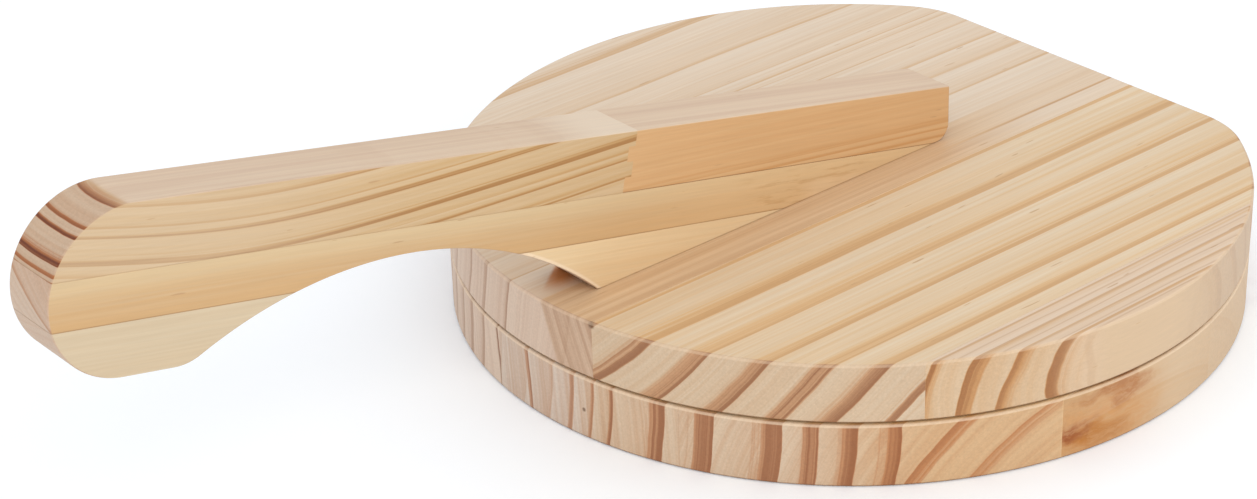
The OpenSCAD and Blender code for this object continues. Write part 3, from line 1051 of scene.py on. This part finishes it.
def base_woods():
    pith, far_left = round_pith(-60, 17), round_pith(-220, 30)
    knot, leaning, low_left = round_pith(145, -10), round_pith(218.6, -41.4), round_pith(-220, -8)
    inner = [(41.9, 1.4, 0.0), (54.8, 3.0, 0.0), (66.3, 2.0, 0.3), (74.6, 2.4, 0.7), (81.9, 1.8, 0.7),
             (88.5, 1.4, 1.0), (104.2, 6.5, 1.0), (117.2, 8.0, 1.0)]
    outer = [(117.2, 8.0, 1.0), (133.2, 8.5, 0.9), (140.8, 4.4, 1.0), (148, 4.6, 1.0),
             (155.6, 4.8, 1.0)]
    woods = {
        "base_stave_1": ([(far_left, rings_every(108, 6.5, 5, 3.0, 0.5))], PALE_FACE, PINK_END),
        "base_stave_2": (
            [(far_left, rings_every(141, 8.4, 7, 3.4, 0.5)), (low_left, [(201.1, 1.8, 1.0)])],
            PALE_FACE, PINK_END),
        "base_stave_3": (
            [(pith, inner), (low_left, [(216.8, 3.4, 0.8)])], FACE, RUSSET_END, rosy_side),
        "base_stave_4": (
            [(pith, outer), (leaning, [(120, 2.6, 0.45), (129, 3.6, 0.65)])],
            FACE, RUSSET_END, warm_corner),
        "base_stave_5": ([(knot, [(33, 2.4, 0.4)])], FACE, ORANGE_END, amber_rim)}
    # The base's upper rims get a painted highlight of this strength
    return {node: pine(node, board_place, *wood, rim_highlight=0.5) for node, wood in woods.items()}


def lid_woods():
    first = [(74.5, 8.0, 0.7), (98.5, 3.4, 0.6), (116, 1.6, 0.5), (122, 1.4, 0.6), (125, 1.2, 0.5)]
    second = [(150, 2.4, 0.5), (164, 2.0, 0.6), (176.7, 2.4, 0.6), (187, 2.2, 0.55),
              (199.5, 2.6, 0.65), (225.3, 1.8, 1.0)]
    third = [(91.4, 4.0, 0.8), (104.6, 5.6, 0.95), (117.2, 5.4, 0.9), (129.4, 5.2, 0.95),
             (141.1, 5.0, 0.95), (149.8, 4.6, 1.0), (158.4, 3.0, 0.9)]
    fourth = [(101.4, 3.0, 0.0), (107.0, 2.4, 0.8), (112.3, 2.8, 1.0), (117.8, 2.2, 0.9)]
    woods = {
        "lid_stave_1": ([(round_pith(-180, 60), first)], PALE_FACE, PINK_END, None, 2.0),
        "lid_stave_2": ([(round_pith(-208, 74), second)], PALE_FACE, PINK_END, heart_zone, 1.0),
        "lid_stave_3": ([(round_pith(-41.3, 102.5), third)], FACE, END, GLUE_FLECK),
        "lid_stave_4": (
            [(round_pith(216, 14.4), fourth), (round_pith(170.5, 25), [(56, 2.8, 1.0)])],
            ROSY_FACE, AMBER_END, calm_rim)}
    # The lid's upper rims get a painted highlight of this strength
    return {node: pine(node, board_place, *wood, rim_highlight=0.25) for node, wood in woods.items()}


def handle_woods():
    front = [(-13.8, 2.8, 0.9), (-8.5, 1.2, 0.7), (-5.9, 2.8, 1.0), (1.05, 3.4, 1.0),
             (3.9, 1.0, 0.6), (6.2, 1.8, 0.9), (11.7, 2.2, 0.9)]
    rear = [(11.5, 4.0, 0.5), (13.5, 1.6, 0.6), (16, 2.4, 0.6)]
    top, middle = UPPER_GLUE / MM, LOWER_GLUE / MM
    woods = {
        "handle_top_front": (
            [(sagging_rings, front)], GOLDEN, TIP_END, glued_below(top, 0.2, pale_tip), 0.4),
        "handle_top_rear": (
            [(flat_rings(0, 0.06), rear)], ORANGE, TIP_END,
            glued_below(top, 0.7, seated(planed_top)), 0.6),
        "handle_middle": (
            [(flat_rings(32.6), [(21.2, 1.1, 0.3)])], STRAW, LOW_END,
            glued_below(middle, 0.5, seated(torn_grain)), 0.5),
        "handle_heel": (
            [(flat_rings(10), [(28, 2, 0.3), (46, 3, 0.5)])], PALE_STRAW, LOW_END,
            seated(arch_edge_highlight), 0.8),
        "handle_belly": (
            [(flat_rings(-10), [(28, 2, 0.3), (46, 3, 0.3)])], BLOND, LOW_END, None, 0.8)}
    return {node: pine(node, blank_place, *wood) for node, wood in woods.items()}


# ---------------------------------------- steel

def zinc(name, roughness):
    """Bright zinc plating, with rolling lines, faint clouds and fine scratches."""
    swing = 0.08
    shader = Shader(name)
    place = board_place(shader)
    lines = shader.noise(shader.vector("MULTIPLY", place, (0.3, 1, 3)), 2.0, 4.0, 0.6)
    cloud = shader.noise(place, 0.25, 3.0)
    scratches = shader.noise(shader.vector("MULTIPLY", place, (0.15, 2, 5)), 3.0, 2.0, 0.7)
    plate = shader.mix(cloud, tint(172, 175, 179), tint(206, 206, 203))
    wear_and_highlight = shader.span(scratches, 0.62, 0.72, 0.0, 0.5)
    shader.give("Base Color", shader.mix(wear_and_highlight, plate, tint(140, 141, 143)))
    shader.give("Metallic", 1.0)
    shader.give("Roughness", shader.span(lines, 0.3, 0.7, roughness - swing, roughness + swing))
    shader.bump(lines, strength=0.08, distance=0.00005)
    return shader.material


# ---------------------------------------- studio

def pale_floor():
    """A matt floor with a faint cool glow of its own, so that it stays nearly white in shade."""
    shader = Shader("pale floor")
    shader.give("Base Color", (0.95, 0.97, 0.98, 1))
    shader.give("Emission Color", (0.03, 0.055, 0.085, 1))
    shader.give("Emission Strength", 1.0)
    shader.give("Roughness", 0.9)
    shader.give("Specular IOR Level", 0.0)
    return shader.material


def add_floor():
    bm = bmesh.new()
    bmesh.ops.create_grid(bm, x_segments=1, y_segments=1, size=FLOOR_HALF)
    floor = as_object(bm, "studio_floor")
    floor.data.materials.append(pale_floor())


def add_softbox(name, place, aim, side, power, colour):
    """A square soft light at a place, turned to what it is aimed at."""
    light = bpy.data.lights.new(name, "AREA")
    light.color = colour
    light.shape = "SQUARE"
    light.size = side
    light.energy = power
    lamp = bpy.data.objects.new(name, light)
    lamp.location = place
    lamp.rotation_euler = (Vector(aim) - Vector(place)).to_track_quat("-Z", "Y").to_euler()
    bpy.context.scene.collection.objects.link(lamp)


def add_lights():
    world = bpy.data.worlds.new("studio")
    bpy.context.scene.world = world
    world.use_nodes = True
    sky = world.node_tree.nodes["Background"]
    sky.inputs["Color"].default_value = (0.985, 0.985, 1.0, 1)
    sky.inputs["Strength"].default_value = 0.98
    add_softbox(
        "key", place=(1.3, -0.6, 1.1), aim=(0, 0, 0), side=1.2, power=8, colour=(1.0, 0.93, 0.83))


def add_camera():
    azimuth, elevation, roll = CAMERA_AZIMUTH, CAMERA_ELEVATION, CAMERA_ROLL
    back = Vector((
        math.sin(azimuth) * math.cos(elevation), -math.cos(azimuth) * math.cos(elevation),
        math.sin(elevation)))
    level = Vector((math.cos(azimuth), math.sin(azimuth), 0))
    upright = back.cross(level)
    across = math.cos(roll) * level + math.sin(roll) * upright
    upward = math.cos(roll) * upright - math.sin(roll) * level
    turn = Matrix((across, upward, back)).transposed()
    data = bpy.data.cameras.new("camera")
    data.sensor_width = SENSOR
    data.lens = LENS
    data.clip_start, data.clip_end = 0.05, 50.0
    camera = bpy.data.objects.new("camera", data)
    camera.matrix_world = Matrix.Translation(CAMERA_AIM + CAMERA_DISTANCE * back) @ turn.to_4x4()
    bpy.context.scene.collection.objects.link(camera)
    bpy.context.scene.camera = camera


def build():
    bpy.context.scene.view_settings.view_transform = "Standard"
    add_camera()
    add_floor()
    add_lights()
    holes = screw_holes()
    make_boards(holes, {**base_woods(), **lid_woods()})
    make_handle(holes, handle_woods())
    make_hinges(holes[0])
    make_screws()
    for cutter in holes:
        bpy.data.objects.remove(cutter)


build()
